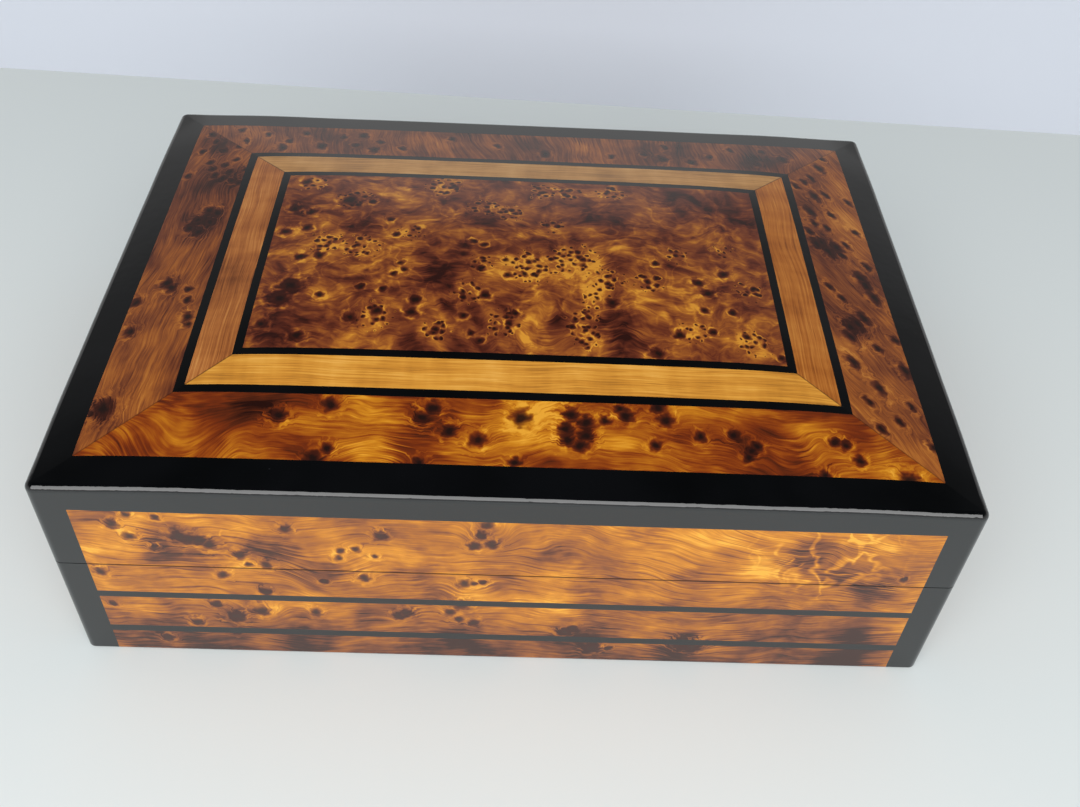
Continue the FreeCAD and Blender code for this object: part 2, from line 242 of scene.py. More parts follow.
EYE_WANDER = (3.2, 0.9)
EYE_RAGGED = 2.2
EYE_SWELL = 4.0
CROWD_CELL = 3.0
CROWD_PATCH = 4.5
CLOUD = 22.0
CLOUD_WANDER = (9.0, 4.5)
FEATHER_FIBRE = (40.0, 0.9)
VEIN = 13.0
VEIN_WIDTH = 0.06
LINE_PATCH = 15.0
LINE_SLANT = 0.07
LINE_SHARE = 0.28
LIP_PLACE = 2.1
LIP_PATCH = 3.0
HALO = 0.3


def along_grain(x, y, turn, stretch):
    """A point turned so that the grain runs along x, and drawn in along it."""
    angle = math.radians(turn)
    return (
        (x * math.cos(angle) + y * math.sin(angle)) / stretch,
        y * math.cos(angle) - x * math.sin(angle),
    )


def nearest(tree, place, spots):
    """Distance to the nearest of some spots, in their radii. spots lists the places of each radius."""
    least = 9.0
    for radius, places in spots.items():
        away = 60.0
        for x, y in places:
            one = add(tree, "VectorMath", [place, (x, y, 0.0)], out="Value", operation="DISTANCE")
            away = add(tree, "Math", [away, one, 0.4], operation="SMOOTH_MIN")
        scaled = add(tree, "Math", [away, radius], operation="DIVIDE")
        least = add(tree, "Math", [least, scaled, 0.3], operation="SMOOTH_MIN")
    return least


def crowd_of_eyes(tree, place, crowd, seed):
    """Distance to the nearest small eye, in its radii, and how crowded the place is.

    Outside a crowd the eyes shrink away.
    """
    crowded = add(tree, "Math", [spots_sum(tree, place, crowd), 1.5], operation="MULTIPLY")
    crowded = add(tree, "Math", [crowded, 1.0], operation="MINIMUM")
    moved = add(tree, "VectorMath", [place, (seed, seed, 0.0)], operation="ADD")
    uneven = add(tree, "TexNoise", {"Vector": moved, "Scale": 1 / CROWD_PATCH, "Detail": 0.0})
    size = add(tree, "MapRange", [uneven, 0.3, 0.6, 0.15, 0.3])
    size = add(tree, "Math", [size, crowded], operation="MULTIPLY")
    size = add(tree, "Math", [size, 0.01], operation="MAXIMUM")
    cells = {"Vector": moved, "Scale": 1 / CROWD_CELL, "Randomness": 0.9}
    away = add(tree, "TexVoronoi", cells, out="Distance", voronoi_dimensions="2D")
    return add(tree, "Math", [away, size], operation="DIVIDE"), crowded


def ragged_eyes(tree, flat, eyes, crowd, turn, stretch, seed):
    """Distance to the nearest eye, in its radii, and how crowded the place is.

    The eyes are ragged dots, drawn out along the grain.
    """
    near = warped(tree, flat, *EYE_WANDER, seed + 7.0)
    upright = (0.0, 0.0, math.radians(-turn))
    laid = add(tree, "Mapping", [near, (0.0, 0.0, 0.0), upright, (1.0, 1.0, 1.0)])
    laid = add(tree, "VectorMath", [laid, (1 / stretch, 1.0, 1.0)], operation="MULTIPLY")
    placed = {
        radius: [along_grain(x, y, turn, stretch) for x, y in places] for radius, places in eyes.items()
    }
    eye = nearest(tree, laid, placed)
    crowded = 0.0
    if crowd:
        small, crowded = crowd_of_eyes(tree, near, crowd, seed)
        eye = add(tree, "Math", [eye, small, 0.3], operation="SMOOTH_MIN")
    moved = add(tree, "VectorMath", [flat, (0.0, 0.0, seed)], operation="ADD")
    ragged = add(tree, "TexNoise", {"Vector": moved, "Scale": 1 / EYE_RAGGED, "Detail": 1.0})
    ragged = add(tree, "MapRange", [ragged, 0.3, 0.7, 0.8, 1.25])
    return add(tree, "Math", [eye, ragged], operation="MULTIPLY"), crowded


def grain(tree, flat, eye, swirls, drift, turn, seed):
    """Where a place lies along the fibres, and which level of growth it is on.

    Levels bend round the eyes and rise over the swirls.
    """
    loose = flat
    for wavelength, reach in drift:
        loose = warped(tree, loose, wavelength, reach, seed + wavelength)
    upright = (0.0, 0.0, math.radians(-turn))
    turned = add(tree, "Mapping", [loose, (0.0, 0.0, 0.0), upright, (1.0, 1.0, 1.0)])
    axes = add(tree, "SeparateXYZ", [turned]).node
    around = [eye, 0.0, EYE_SWELL, EYE_SWELL, 0.0]
    swell = add(tree, "MapRange", around, interpolation_type="SMOOTHERSTEP")
    level = add(tree, "Math", [axes.outputs[1], swell], operation="ADD")
    return axes.outputs[0], spots_sum(tree, loose, swirls, level)


def patches(tree, flat, flow, tones, tone, clouds, turn, feather, seed):
    """Patches of tone, whose edges feather out along the fibres, and the plain places under them."""
    long, wide = FEATHER_FIBRE
    fibres = add(tree, "VectorMath", [flow, (1 / long, 1 / wide, 1.0)], operation="MULTIPLY")
    fibres = add(tree, "TexNoise", {"Vector": fibres, "Scale": 1.0, "Detail": 2.0})
    reach = add(tree, "MapRange", [fibres, 0.25, 0.75, -feather, feather])
    way = (math.cos(math.radians(turn)), math.sin(math.radians(turn)), 0.0)
    reach = add(tree, "VectorMath", {0: way, "Scale": reach}, operation="SCALE")
    plain = warped(tree, flat, *CLOUD_WANDER, seed + 17.0)
    patchy = add(tree, "VectorMath", [plain, reach], operation="ADD")
    moved = add(tree, "VectorMath", [patchy, (0.0, 0.0, seed)], operation="ADD")
    cloud = add(tree, "TexNoise", {"Vector": moved, "Scale": 1 / CLOUD, "Detail": 2.0})
    cloud = add(tree, "Math", [cloud, 0.5], operation="SUBTRACT")
    tone = spots_sum(tree, patchy, tones, tone)
    return add(tree, "Math", [cloud, clouds, tone], operation="MULTIPLY_ADD"), plain


def curly_veins(tree, flat, plain, veins, tone):
    """tone with light veins, where the fibres turn back on themselves."""
    curled = {"Vector": plain, "Scale": 1 / VEIN, "Detail": 1.5, "Distortion": 0.8}
    off = add(tree, "Math", [add(tree, "TexNoise", curled), 0.5], operation="SUBTRACT")
    off = add(tree, "Math", [off], operation="ABSOLUTE")
    vein = add(tree, "MapRange", [off, 0.0, VEIN_WIDTH, 1.0, 0.0], interpolation_type="SMOOTHSTEP")
    return add(tree, "Math", [vein, spots_sum(tree, flat, veins), tone], operation="MULTIPLY_ADD")


def yearly_lines(tree, along, level, moved, year, lines, tone):
    """tone with dark yearly lines, which come and go."""
    bend = add(tree, "Math", [along, LINE_SLANT, level], operation="MULTIPLY_ADD")
    between = add(tree, "Math", [bend, year], operation="PINGPONG")
    line = add(
        tree, "MapRange", [between, 0.0, LINE_SHARE * year, lines, 0.0], interpolation_type="SMOOTHSTEP")
    strong = add(tree, "TexNoise", {"Vector": moved, "Scale": 1 / LINE_PATCH, "Detail": 1.0})
    strong = add(tree, "MapRange", [strong, 0.38, 0.62, 0.0, 1.6])
    line = add(tree, "Math", [line, strong], operation="MULTIPLY")
    return add(tree, "Math", [tone, line], operation="SUBTRACT")


def light_lips(tree, eye, moved, lip, tone):
    """tone with a shade round each eye, then a light lip, stronger on some sides than on others."""
    shade = add(tree, "MapRange", [eye, 0.9, LIP_PLACE, HALO, 0.0], interpolation_type="SMOOTHSTEP")
    tone = add(tree, "Math", [tone, shade], operation="SUBTRACT")
    around = add(tree, "Math", [eye, LIP_PLACE], operation="SUBTRACT")
    around = add(tree, "MapRange", [around, -1.0, 1.0, -1.0, 1.0])
    around = add(tree, "Math", [around], operation="ABSOLUTE")
    around = add(tree, "Math", [around, lip], operation="MULTIPLY")
    glint = add(tree, "Math", [lip, around], operation="SUBTRACT")
    sided = add(tree, "TexNoise", {"Vector": moved, "Scale": 1 / LIP_PATCH, "Detail": 0.0})
    sided = add(tree, "MapRange", [sided, 0.4, 0.65, 0.0, 2.0])
    glint = add(tree, "Math", [glint, sided], operation="MULTIPLY")
    return add(tree, "Math", [tone, glint], operation="ADD")


def burl(name, plane, seed, eyes, tones, figure, drift, tints, clouds, lines, year, joint=None, tone=0.5,
         swirls=(), crowd=(), gilt=0.0, veins=(), turn=0.0, stretch=1.0, feather=7.0, lip=0.1,
         pith=DARK_PITH):
    """A sheet of thuya burl. eyes, tones, swirls, crowd and veins are places in the panel's plane.

    turn is the grain's angle from the first axis, stretch draws the eyes out along it, and gilt is how
    much lighter the wood is in a crowd of eyes.
    """
    material, tree, shader = start_material(name, LACQUER)
    flat = flat_coordinates(tree, plane)
    moved = add(tree, "VectorMath", [flat, (0.0, 0.0, seed)], operation="ADD")
    eye, crowded = ragged_eyes(tree, flat, eyes, crowd, turn, stretch, seed)
    along, level = grain(tree, flat, eye, swirls, drift, turn, seed)
    flow = add(tree, "CombineXYZ", [along, level, seed])

    tone, plain = patches(tree, flat, flow, tones, tone, clouds, turn, feather, seed)
    tone = add(tree, "Math", [crowded, gilt, tone], operation="MULTIPLY_ADD")
    tone = figured(tree, flow, figure, tone)
    if veins:
        tone = curly_veins(tree, flat, plain, veins, tone)
    tone = yearly_lines(tree, along, level, moved, year, lines, tone)
    tone = light_lips(tree, eye, moved, lip, tone)
    wood = add(tree, "ValToRGB", [tone], stops=zip(TINT_PLACES, tints))

    ring = add(tree, "MapRange", [eye, 0.7, 1.9, 0.7, 0.0], interpolation_type="SMOOTHSTEP")
    wood = add(tree, "Mix", {0: ring, 6: wood, 7: colour(EYE_RING)}, out=2, data_type="RGBA")
    core = add(tree, "MapRange", [eye, 0.3, 1.15, 0.88, 0.0], interpolation_type="SMOOTHSTEP")
    wood = add(tree, "Mix", {0: core, 6: wood, 7: colour(pith)}, out=2, data_type="RGBA")
    if joint:
        wood = joint(tree, flat, wood)
    tree.links.new(wood, shader.inputs["Base Color"])
    polish(tree, shader)
    return material


# Places in the burl. Eyes are listed under their radius. A tone, swirl, crowd or vein is a place, a radius
# and a strength.

CENTRE_EYES = {
    1.0: [(-57, 31), (-38, 12), (-43, -9), (-41, -13), (-13, 3), (-14, -11), (-5, -6), (2, -13), (-4, -14),
          (50, -4), (-70, -26), (-56, -22), (-48, -23), (-1, -33), (-3, -38), (66, -27), (76, -27),
          (80, -39), (68, -38), (-49, 18), (-46, 8), (-17, 5), (-45, -15), (-19, -35), (-16, -43),
          (-13, -46), (91, -48)],
    1.5: [(-85, 46), (-80, 24), (-88, 12), (-80, 14), (-80, -4), (-73, -4), (-37, -34), (-58, -37),
          (-49, -34), (-75, -46), (75, -6), (-87, 27), (65, -13), (68, -18), (-36, -28), (33, -26),
          (56, -40), (48, -49), (-88, -40), (-12, -25)],
    2.6: [(-84, -27), (-81, -20), (-66, 32)],
}
CENTRE_CROWD = [
    (-14, 29, 10, 0.95), (-4, 25, 9, 0.9), (-30, 44, 13, 0.9), (8, 43, 10, 0.9), (19, 43, 9, 0.9),
    (-64, 33, 11, 1.0), (36, 45, 10, 0.8), (12, 17, 8, 0.8), (-72, 4, 11, 0.8), (-58, 1, 11, 0.9),
    (4, -9, 14, 0.9), (20, -4, 14, 0.95), (32, -14, 10, 0.8), (47, -14, 9, 1.0), (22, -36, 10, 1.0),
    (28, -24, 9, 1.0), (-28, -42, 8, 1.0), (-5, -38, 10, 0.95), (-18, -23, 9, 1.0), (84, -14, 10, 0.8),
    (82, -42, 10, 0.8), (-50, -36, 11, 0.7), (-82, 44, 9, 0.7), (58, 2, 8, 0.7), (-14, -8, 8, 0.8),
    (-40, 10, 9, 0.5), (76, 8, 10, 0.4), (62, -38, 9, 0.6), (24, -44, 8, 0.9),
]
CENTRE_TONES = [
    (-2, -12, 18, 0.22), (20, -12, 18, 0.22), (6, -32, 9, 0.28), (7, -45, 11, 0.28), (-48, -46, 15, 0.2),
    (70, -26, 24, 0.14), (-66, -26, 11, 0.22), (46, -24, 12, 0.22), (42, 0, 9, 0.2), (-44, -2, 9, 0.12),
    (-36, 22, 12, 0.12), (-68, -3, 12, 0.16), (82, -46, 12, 0.2), (-30, -26, 9, 0.18), (-90, 0, 10, 0.2),
    (-84, 10, 8, 0.15), (-26, 0, 13, -0.26), (-28, -16, 12, -0.32), (-22, -30, 8, -0.26),
    (-82, -24, 16, -0.42), (-82, -44, 17, -0.42), (-15, 18, 15, -0.28), (36, -5, 10, -0.28),
    (36, -34, 11, -0.42), (38, -46, 11, -0.36), (82, 38, 22, -0.26), (62, 42, 16, -0.18),
    (-64, 33, 12, -0.3), (-4, -32, 5, -0.36), (13, -34, 5, -0.3), (30, 24, 16, -0.26), (12, 30, 12, -0.2),
    (76, -14, 10, -0.26), (-86, 24, 11, -0.26), (8, 22, 8, -0.12), (-60, 12, 10, -0.2), (58, 12, 10, -0.2),
]
CENTRE_VEINS = [(-50, 0, 90, 0.16), (50, 0, 90, 0.16)]

FRONT_EYES = {
    1.4: [(-59, -92), (-30, -96), (34, -73), (45, -87), (60, -83), (71, -82), (76, -88), (78, -86),
          (99, -96), (0, -95), (104, -83), (107, -84), (29, -78), (111, -90), (75, -90)],
    1.9: [(-76, -80), (-60, -75), (-27, -75), (-30, -79), (-21, -84), (-12, -87), (18, -76), (23, -79),
          (16, -82), (17, -86), (21, -88), (23, -84), (-63, -96), (36, -76), (47, -72), (49, -77)],
    2.6: [(2, -78), (126, -97)],
}
FRONT_TONES = [
    (-128, -84, 26, 0.12), (-100, -88, 26, 0.14), (-92, -78, 14, -0.16), (-112, -76, 10, -0.12),
    (-45, -84, 24, 0.20), (-20, -74, 16, 0.05), (-2, -86, 20, 0.16), (34, -88, 22, 0.18),
    (50, -90, 20, 0.1), (-60, -75, 8, -0.2), (-24, -79, 9, -0.15), (20, -81, 10, -0.18),
    (82, -82, 16, -0.10), (96, -82, 12, 0.12), (118, -80, 16, -0.08), (128, -90, 14, -0.1),
    (-36, -94, 10, -0.15), (8, -94, 8, -0.15),
]
FRONT_SWIRLS = [(-104, -102, 36, 14), (-84, -90, 12, -4), (92, -88, 22, 8), (116, -84, 14, 5),
                (-45, -95, 16, -5)]

LEFT_EYES = {
    1.0: [(-118, 57), (-124, 55), (-116, 50), (-118, -19), (-117, -25), (-114, -38), (-128, 65),
          (-121, 62), (-117, 66), (-126, 60), (-133, 74), (-124, 74), (-118, 77), (-129, 82), (-119, 84),
          (-112, 58), (-113, 48), (-132, 88), (-123, 90), (-120, 52), (-135, 56)],
    1.5: [(-121, 30), (-124, 24), (-119, 22), (-122, 16), (-127, -14), (-125, -17), (-134, -40),
          (-117, 28), (-126, 19), (-136, -24), (-115, -34)],
    2.4: [(-133, -77)],
}
LEFT_TONES = [
    (-122, 22, 14, -0.42), (-124, 56, 18, -0.28), (-124, 82, 20, -0.3), (-126, -2, 14, 0.12),
    (-126, -16, 7, -0.2), (-130, -34, 9, -0.12), (-122, -50, 22, 0.22), (-120, -74, 20, 0.2),
    (-134, -77, 7, -0.35), (-132, -96, 10, 0.1), (-128, 38, 10, 0.15), (-132, 10, 10, 0.15),
    (-117, -28, 7, -0.15),
]

RIGHT_EYES = {
    1.0: [(135, 55), (120, -10), (114, 62), (126, 58), (119, -64), (134, -64), (125, 17), (118, 24),
          (118, 66), (122, 70), (114, 30), (128, 24), (134, 12), (128, -36), (136, -30), (122, 34),
          (130, 88), (117, 36), (126, 44), (134, 34), (116, -4), (128, -72), (137, -82), (121, -76)],
    1.45: [(127, 79), (121, 56), (117, 44), (116, 22), (124, 22), (120, 18), (131, 0), (133, -7),
           (126, -20), (120, -26), (119, -32), (117, -45), (124, -57), (136, -46), (130, 4), (123, -24)],
}
RIGHT_TONES = [
    (120, 22, 13, -0.3), (122, -28, 10, -0.22), (132, -4, 8, -0.22), (130, 38, 14, 0.15),
    (130, -48, 10, -0.1), (118, 50, 9, -0.15), (130, 62, 10, 0.15), (118, -8, 9, 0.15),
    (134, -18, 8, 0.15), (118, -60, 9, -0.12), (126, -88, 14, 0.15), (136, -70, 9, -0.1),
    (122, 90, 10, 0.12),
]

BACK_EYES = {
    1.0: [(-108, 88), (-70, 80), (-60, 84), (-30, 90), (52, 82), (90, 90), (-98, 82), (-92, 90),
          (-76, 88), (-50, 78), (-10, 84), (38, 78), (62, 90), (80, 82), (100, 78), (104, 90),
          (-120, 92), (-116, 82)],
    1.4: [(-68, 90), (-84, 78), (10, 78), (72, 76), (112, 84), (-100, 76), (-62, 76), (60, 78)],
}
BACK_TONES = [
    (-84, 84, 22, -0.25), (-40, 84, 16, 0.1), (-10, 84, 16, -0.05), (27, 85, 8, 0.40), (60, 84, 20, -0.2),
    (100, 80, 14, -0.3), (84, 90, 8, 0.15), (-112, 80, 10, -0.2), (118, 88, 8, 0.15),
]

# One sheet of burl runs up a wall, across the seam and the inlaid lines
WALL_EYES = {
    1.0: [(-121, 76), (-112, 75), (-115, 60), (-86, 52), (-55, 61), (-50, 62), (-44, 58), (-12, 45),
          (-9, 46), (-135, 28), (131, 54), (-95, 12), (36, 8), (-56, 57), (-62, 44)],
    1.45: [(-126, 71), (-122, 65), (-88, 57), (-80, 52), (-72, 71), (-8, 76), (-95, 46), (-82, 37),
           (-48, 46), (-15, 45), (-135, 46), (-100, 29), (-108, 18), (-66, 26), (-35, 27), (-38, 25),
           (-17, 24), (-12, 22), (20, 18), (23, 20), (-120, 8), (-10, 71), (-6, 66), (-12, 65),
           (-42, 69), (-20, 28)],
    2.0: [(-106, 66), (-103, 65), (-100, 64), (-97, 62), (-85, 26), (-94, 22), (62, 12), (66, 11),
          (-16, 32), (30, 8)],
}
WALL_TONES = [
    (-128, 64, 14, 0.19), (-130, 40, 10, 0.12), (-96, 74, 12, 0.19), (-110, 66, 12, -0.3),
    (-112, 56, 10, -0.2), (-92, 54, 9, 0.12), (-78, 60, 12, -0.3), (-84, 45, 10, 0.17),
    (-62, 74, 10, 0.19), (-66, 45, 14, -0.25), (-50, 47, 7, 0.15), (-44, 74, 12, -0.12),
    (-30, 62, 14, -0.12), (-16, 74, 10, 0.22), (-14, 58, 12, 0.12), (-26, 42, 12, -0.2),
    (-4, 44, 10, -0.15), (14, 42, 18, 0.17), (20, 66, 16, -0.14), (44, 60, 18, 0.06),
    (64, 68, 18, 0.24), (84, 58, 16, 0.24), (88, 76, 10, 0.19), (100, 68, 9, -0.28),
    (112, 74, 9, 0.15), (118, 58, 8, 0.07), (122, 46, 14, -0.42), (104, 42, 8, 0.07),
    (131, 50, 5, 0.38), (88, 42, 16, -0.2), (60, 42, 18, 0.04), (92, 62, 7, -0.34),
    (108, 54, 9, -0.3), (100, 58, 22, -0.16), (101, 76, 6, 0.2), (120, 70, 7, 0.25),
    (-128, 24, 16, 0.04), (-94, 22, 9, -0.3), (-80, 27, 6, 0.24), (-62, 20, 12, 0.04),
    (-50, 24, 12, -0.15), (-34, 26, 8, -0.3), (-24, 21, 6, 0.24), (-6, 22, 9, 0.12),
    (14, 26, 9, 0.15), (22, 17, 7, -0.3), (64, 15, 9, -0.5), (44, 24, 18, 0.04),
    (90, 24, 18, -0.12), (124, 24, 16, -0.25), (-128, 6, 14, -0.12), (-100, 7, 12, 0.04),
    (-74, 6, 16, -0.25), (-40, 7, 14, 0.15), (-10, 6, 10, -0.15), (20, 6, 10, 0.09),
    # The last six tones, wide and centred on the foot of the wall, are painted shade: darker towards the
    # floor.
    (60, 5, 16, -0.25), (92, 7, 12, 0.02), (118, 5, 16, -0.3), (-110, 0, 44, -0.42),
    (-66, 0, 44, -0.38), (-20, 0, 44, -0.38), (26, 0, 44, -0.38), (74, 0, 44, -0.38),
    (116, 0, 44, -0.42),
]
WALL_VEINS = [(106, 62, 34, 0.5), (82, 68, 16, 0.12), (-96, 64, 24, 0.2), (-52, 56, 16, 0.15)]
WALL_SWIRLS = [(118, 98, 88, 42), (-8, 68, 13, 7), (-16, 34, 18, 6), (-90, 24, 14, 6), (100, 66, 12, -6),
               (-60, 52, 24, 7), (20, 74, 22, -6), (64, 14, 16, 5)]

SIDE_EYES = {
    0.9: [(-84, 70), (-70, 60), (-58, 72), (-34, 64), (-31, 60), (-10, 72), (4, 56), (30, 70), (34, 66),
          (66, 58), (90, 66), (-50, 42), (-46, 46), (16, 40), (20, 36), (76, 44), (-88, 24), (-30, 28),
          (-26, 24), (32, 22), (60, 28), (-60, 8), (0, 10), (48, 6), (84, 8)],
    1.4: [(-80, 66), (-76, 60), (-30, 66), (-16, 60), (36, 62), (84, 70), (-54, 40), (22, 42), (72, 38),
          (-66, 22), (-12, 22), (56, 24), (-40, 8), (30, 8)],
    2.0: [(-72, 66), (-13, 65), (52, 66), (-60, 26), (12, 26), (-86, 44)],
}
SIDE_TONES = [
    (-76, 63, 14, -0.35), (-44, 68, 18, 0.2), (-22, 62, 13, -0.35), (12, 68, 16, 0.22), (40, 62, 15, -0.3),
    (66, 72, 12, 0.22), (86, 58, 15, -0.15), (-92, 44, 14, 0.15), (-58, 40, 13, -0.28), (-28, 44, 16, 0.15),
    (18, 40, 12, -0.25), (50, 44, 14, 0.12), (76, 40, 12, -0.25), (-62, 26, 14, -0.3), (-20, 20, 20, 0.1),
    # The last two tones, wide and centred on the foot of the wall, are painted shade: darker towards the
    # floor.
    (10, 26, 12, -0.28), (40, 18, 18, 0.12), (62, 26, 14, -0.2), (-50, 0, 40, -0.2), (40, 0, 40, -0.2),
]
SIDE_VEINS = [(10, 66, 24, 0.25), (-44, 58, 20, 0.2), (66, 62, 20, 0.2)]


# Other woods, metal and cloth

EBONY = {
    "Roughness": 0.6,
    "Specular IOR Level": 0.0,
    "Coat Weight": 1.0,
    "Coat Roughness": 0.02,
    "Coat IOR": 1.75,
}
HAZE = 30.0
GLINT_APART = 7.0


def black_lacquer(name):
    """Wood dyed black under buffed lacquer. It gives the eye a deep black mirror and a few light dots,
    painted highlights where fine scratches catch the light.

    The dots are drawn about 0.3 mm across, coarser than the real ones, to show.
    """
    material, tree, shader = start_material(name, EBONY)
    place = object_mm(tree)
    haze = add(tree, "TexNoise", {"Vector": place, "Scale": 1 / HAZE, "Detail": 2.0})
    black = add(tree, "ValToRGB", [haze], stops=[(0.3, "#050607"), (0.7, "#0B0C0E")])
    # Light grey dots: painted highlights where fine scratches catch the light
    scratch_glint_cells = add(tree, "TexVoronoi", {"Vector": place, "Scale": 1 / GLINT_APART}, out="Distance")
    painted_glint = add(tree, "ValToRGB", [scratch_glint_cells], stops=[(0.0, 1.0), (0.02, 0.5), (0.035, 0.0)])
    black = add(tree, "Mix", {0: painted_glint, 6: black, 7: colour("#34363A")}, out=2, data_type="RGBA")
    tree.links.new(black, shader.inputs["Base Color"])
    polish(tree, shader)
    return material


PALE_PLACES = (0.1, 0.4, 0.6, 0.95)
PALE_TINTS = {
    "front": ("#A86E26", "#CE8A30", "#DE9C3C", "#F2B65A"),
    "back": ("#8E6232", "#B27E42", "#C48E4E", "#D8A666"),
    "left": ("#6E3A1A", "#9C5A2A", "#B46E34", "#CE8C4A"),
    "right": ("#7C4216", "#A65E20", "#B86F2A", "#D08C3E"),
}
PALE_FIGURE = (
    (70.0, 3.5, 2.0, 0.5), (60.0, 0.8, 2.0, 0.9), (12.0, 0.5, 1.0, 0.5),
    (7.0, 26.0, 2.0, 0.5), (26.0, 20.0, 1.0, 0.7),
)
PALE_DRIFT = (45.0, 3.0)
PORE = (14.0, 0.5)


def pale_wood(name, along, tints, seed):
    """Cherry, laid as a band and lacquered. along is the axis of its fibres.

    It gives the eye fine straight fibres, short dark pores and a faint ripple across them. Fibres and
    pores are drawn 0.5 mm wide, about ten times their real width, to show.
    """
    material, tree, shader = start_material(name, LACQUER)
    place = warped(tree, flat_coordinates(tree, (along, 1 - along)), *PALE_DRIFT, seed)
    tone = figured(tree, place, PALE_FIGURE, 0.5, seed)
    long, wide = PORE
    scaled = add(tree, "VectorMath", [place, (1 / long, 1 / wide, seed)], operation="MULTIPLY")
    pores = add(tree, "TexVoronoi", {"Vector": scaled, "Scale": 1.0}, out="Distance")
    pores = add(tree, "MapRange", [pores, 0.08, 0.3, 0.22, 0.0], interpolation_type="SMOOTHSTEP")
    tone = add(tree, "Math", [tone, pores], operation="SUBTRACT")
    wood = add(tree, "ValToRGB", [tone], stops=zip(PALE_PLACES, tints))
    wood = mitred(tree, flat_coordinates(tree, TOP_PLANE), wood, strength=0.6)
    tree.links.new(wood, shader.inputs["Base Color"])
    polish(tree, shader)
    return material


SATIN = {
    "Roughness": 0.55,
    "Specular IOR Level": 0.3,
    "Coat Weight": 0.4,
    "Coat Roughness": 0.25,
    "Coat IOR": 1.48,
}
BOARD_FIBRE = (60.0, 60.0, 1.2)
BOARD_PORE = (9.0, 9.0, 0.35)
BOARD_TINTS = [(0.5, "#3E1D10"), (0.68, "#6B3A22"), (0.8, "#7E482B"), (0.95, "#94593A")]
PORE_DEPTH = 0.03


def mahogany(name):
    """Mahogany, planed and given one thin satin coat. It gives the eye long red-brown fibres and pores.

    The pores are drawn 0.35 mm wide, about twice their real width, to show.
    """
    material, tree, shader = start_material(name, SATIN)
    place = object_mm(tree)
    stretched = add(tree, "VectorMath", [place, [1 / size for size in BOARD_FIBRE]], operation="MULTIPLY")
    fibres = add(tree, "TexNoise", {"Vector": stretched, "Scale": 1.0, "Detail": 3.0})
    finer = add(tree, "VectorMath", [place, [1 / size for size in BOARD_PORE]], operation="MULTIPLY")
    pores = add(tree, "TexNoise", {"Vector": finer, "Scale": 1.0, "Detail": 1.0})
    tone = add(tree, "Math", [pores, 0.45, fibres], operation="MULTIPLY_ADD")
    wood = add(tree, "ValToRGB", [tone], stops=BOARD_TINTS)
    tree.links.new(wood, shader.inputs["Base Color"])
    bump = add(tree, "Bump", {"Strength": 1.0, "Distance": PORE_DEPTH * MM, "Height": pores})
    tree.links.new(bump, shader.inputs["Normal"])
    return material


DULL_PATCH = 6.0
BRASS_TINTS = [(0.35, "#B8903F"), (0.6, "#D6AE5A"), (0.8, "#E2C074")]
SCRATCH = (8.0, 0.25, 0.25)
SCRATCH_DEPTH = 0.01


def brass(name):
    """Rolled brass, polished by hand. It gives the eye warm gold with fine scratches and slight dulling.

    The scratches are drawn 0.25 mm wide, many times their real width, to show.
    """
    material, tree, shader = start_material(name, {"Metallic": 1.0})
    place = object_mm(tree)
    dulling = add(tree, "TexNoise", {"Vector": place, "Scale": 1 / DULL_PATCH, "Detail": 3.0})
    gold = add(tree, "ValToRGB", [dulling], stops=BRASS_TINTS)
    tree.links.new(gold, shader.inputs["Base Color"])
    drawn = add(tree, "VectorMath", [place, [1 / size for size in SCRATCH]], operation="MULTIPLY")
    scratches = add(tree, "TexNoise", {"Vector": drawn, "Scale": 1.0, "Detail": 2.0})
    rough = add(tree, "MapRange", [scratches, 0.3, 0.7, 0.16, 0.34])
    tree.links.new(rough, shader.inputs["Roughness"])
    bump = add(tree, "Bump", {"Strength": 0.6, "Distance": SCRATCH_DEPTH * MM, "Height": scratches})
    tree.links.new(bump, shader.inputs["Normal"])
    return material


NAP_PLACES = (0.34, 0.5, 0.66)


def napped(name, tints, fibre, brushed, depth):
    """Cloth whose short fibres stand up. It gives the eye a soft bloom in lighter and darker strokes.

    fibre is the tufts' drawn width, brushed is the size of the strokes, and depth is how high it stands.
    """
    material, tree, shader = start_material(name, {
        "Roughness": 0.9,
        "Specular IOR Level": 0.15,
        "Sheen Weight": 0.5,
        "Sheen Roughness": 0.45,
        "Sheen Tint": colour(tints[-1]),
    })
    place = object_mm(tree)
    tufts = add(tree, "TexNoise", {"Vector": place, "Scale": 1 / fibre, "Detail": 3.0, "Roughness": 0.6})
    stroked = warped(tree, place, brushed, brushed / 3, 5.0)
    strokes = add(tree, "TexNoise", {"Vector": stroked, "Scale": 1 / brushed, "Detail": 2.0})
    tone = add(tree, "Math", [tufts, 0.65], operation="MULTIPLY")
    tone = add(tree, "Math", [strokes, 0.35, tone], operation="MULTIPLY_ADD")
    cloth = add(tree, "ValToRGB", [tone], stops=zip(NAP_PLACES, tints))
    tree.links.new(cloth, shader.inputs["Base Color"])
    bump = add(tree, "Bump", {"Strength": 1.0, "Distance": depth * MM, "Height": tufts})
    tree.links.new(bump, shader.inputs["Normal"])
    return material


# Every CAD node gets its finish

FIBRES_ALONG = {"front": 0, "back": 0, "left": 1, "right": 1}

CENTRE_LOOK = dict(figure=CENTRE_FIGURE, drift=CENTRE_DRIFT, tints=CENTRE_TINTS, clouds=0.9, lines=0.05,
                   year=1.4, gilt=0.1, lip=0.2, feather=4.0)
FRONT_LOOK = dict(figure=FRONT_FIGURE, drift=PLAIN_DRIFT, tints=FRONT_TINTS, clouds=1.6, lines=0.07,
                  year=1.8, joint=mitred)
BORDER_LOOK = dict(figure=BORDER_FIGURE, drift=BORDER_DRIFT, tints=BORDER_TINTS, clouds=1.0, year=1.5,
                   joint=mitred)
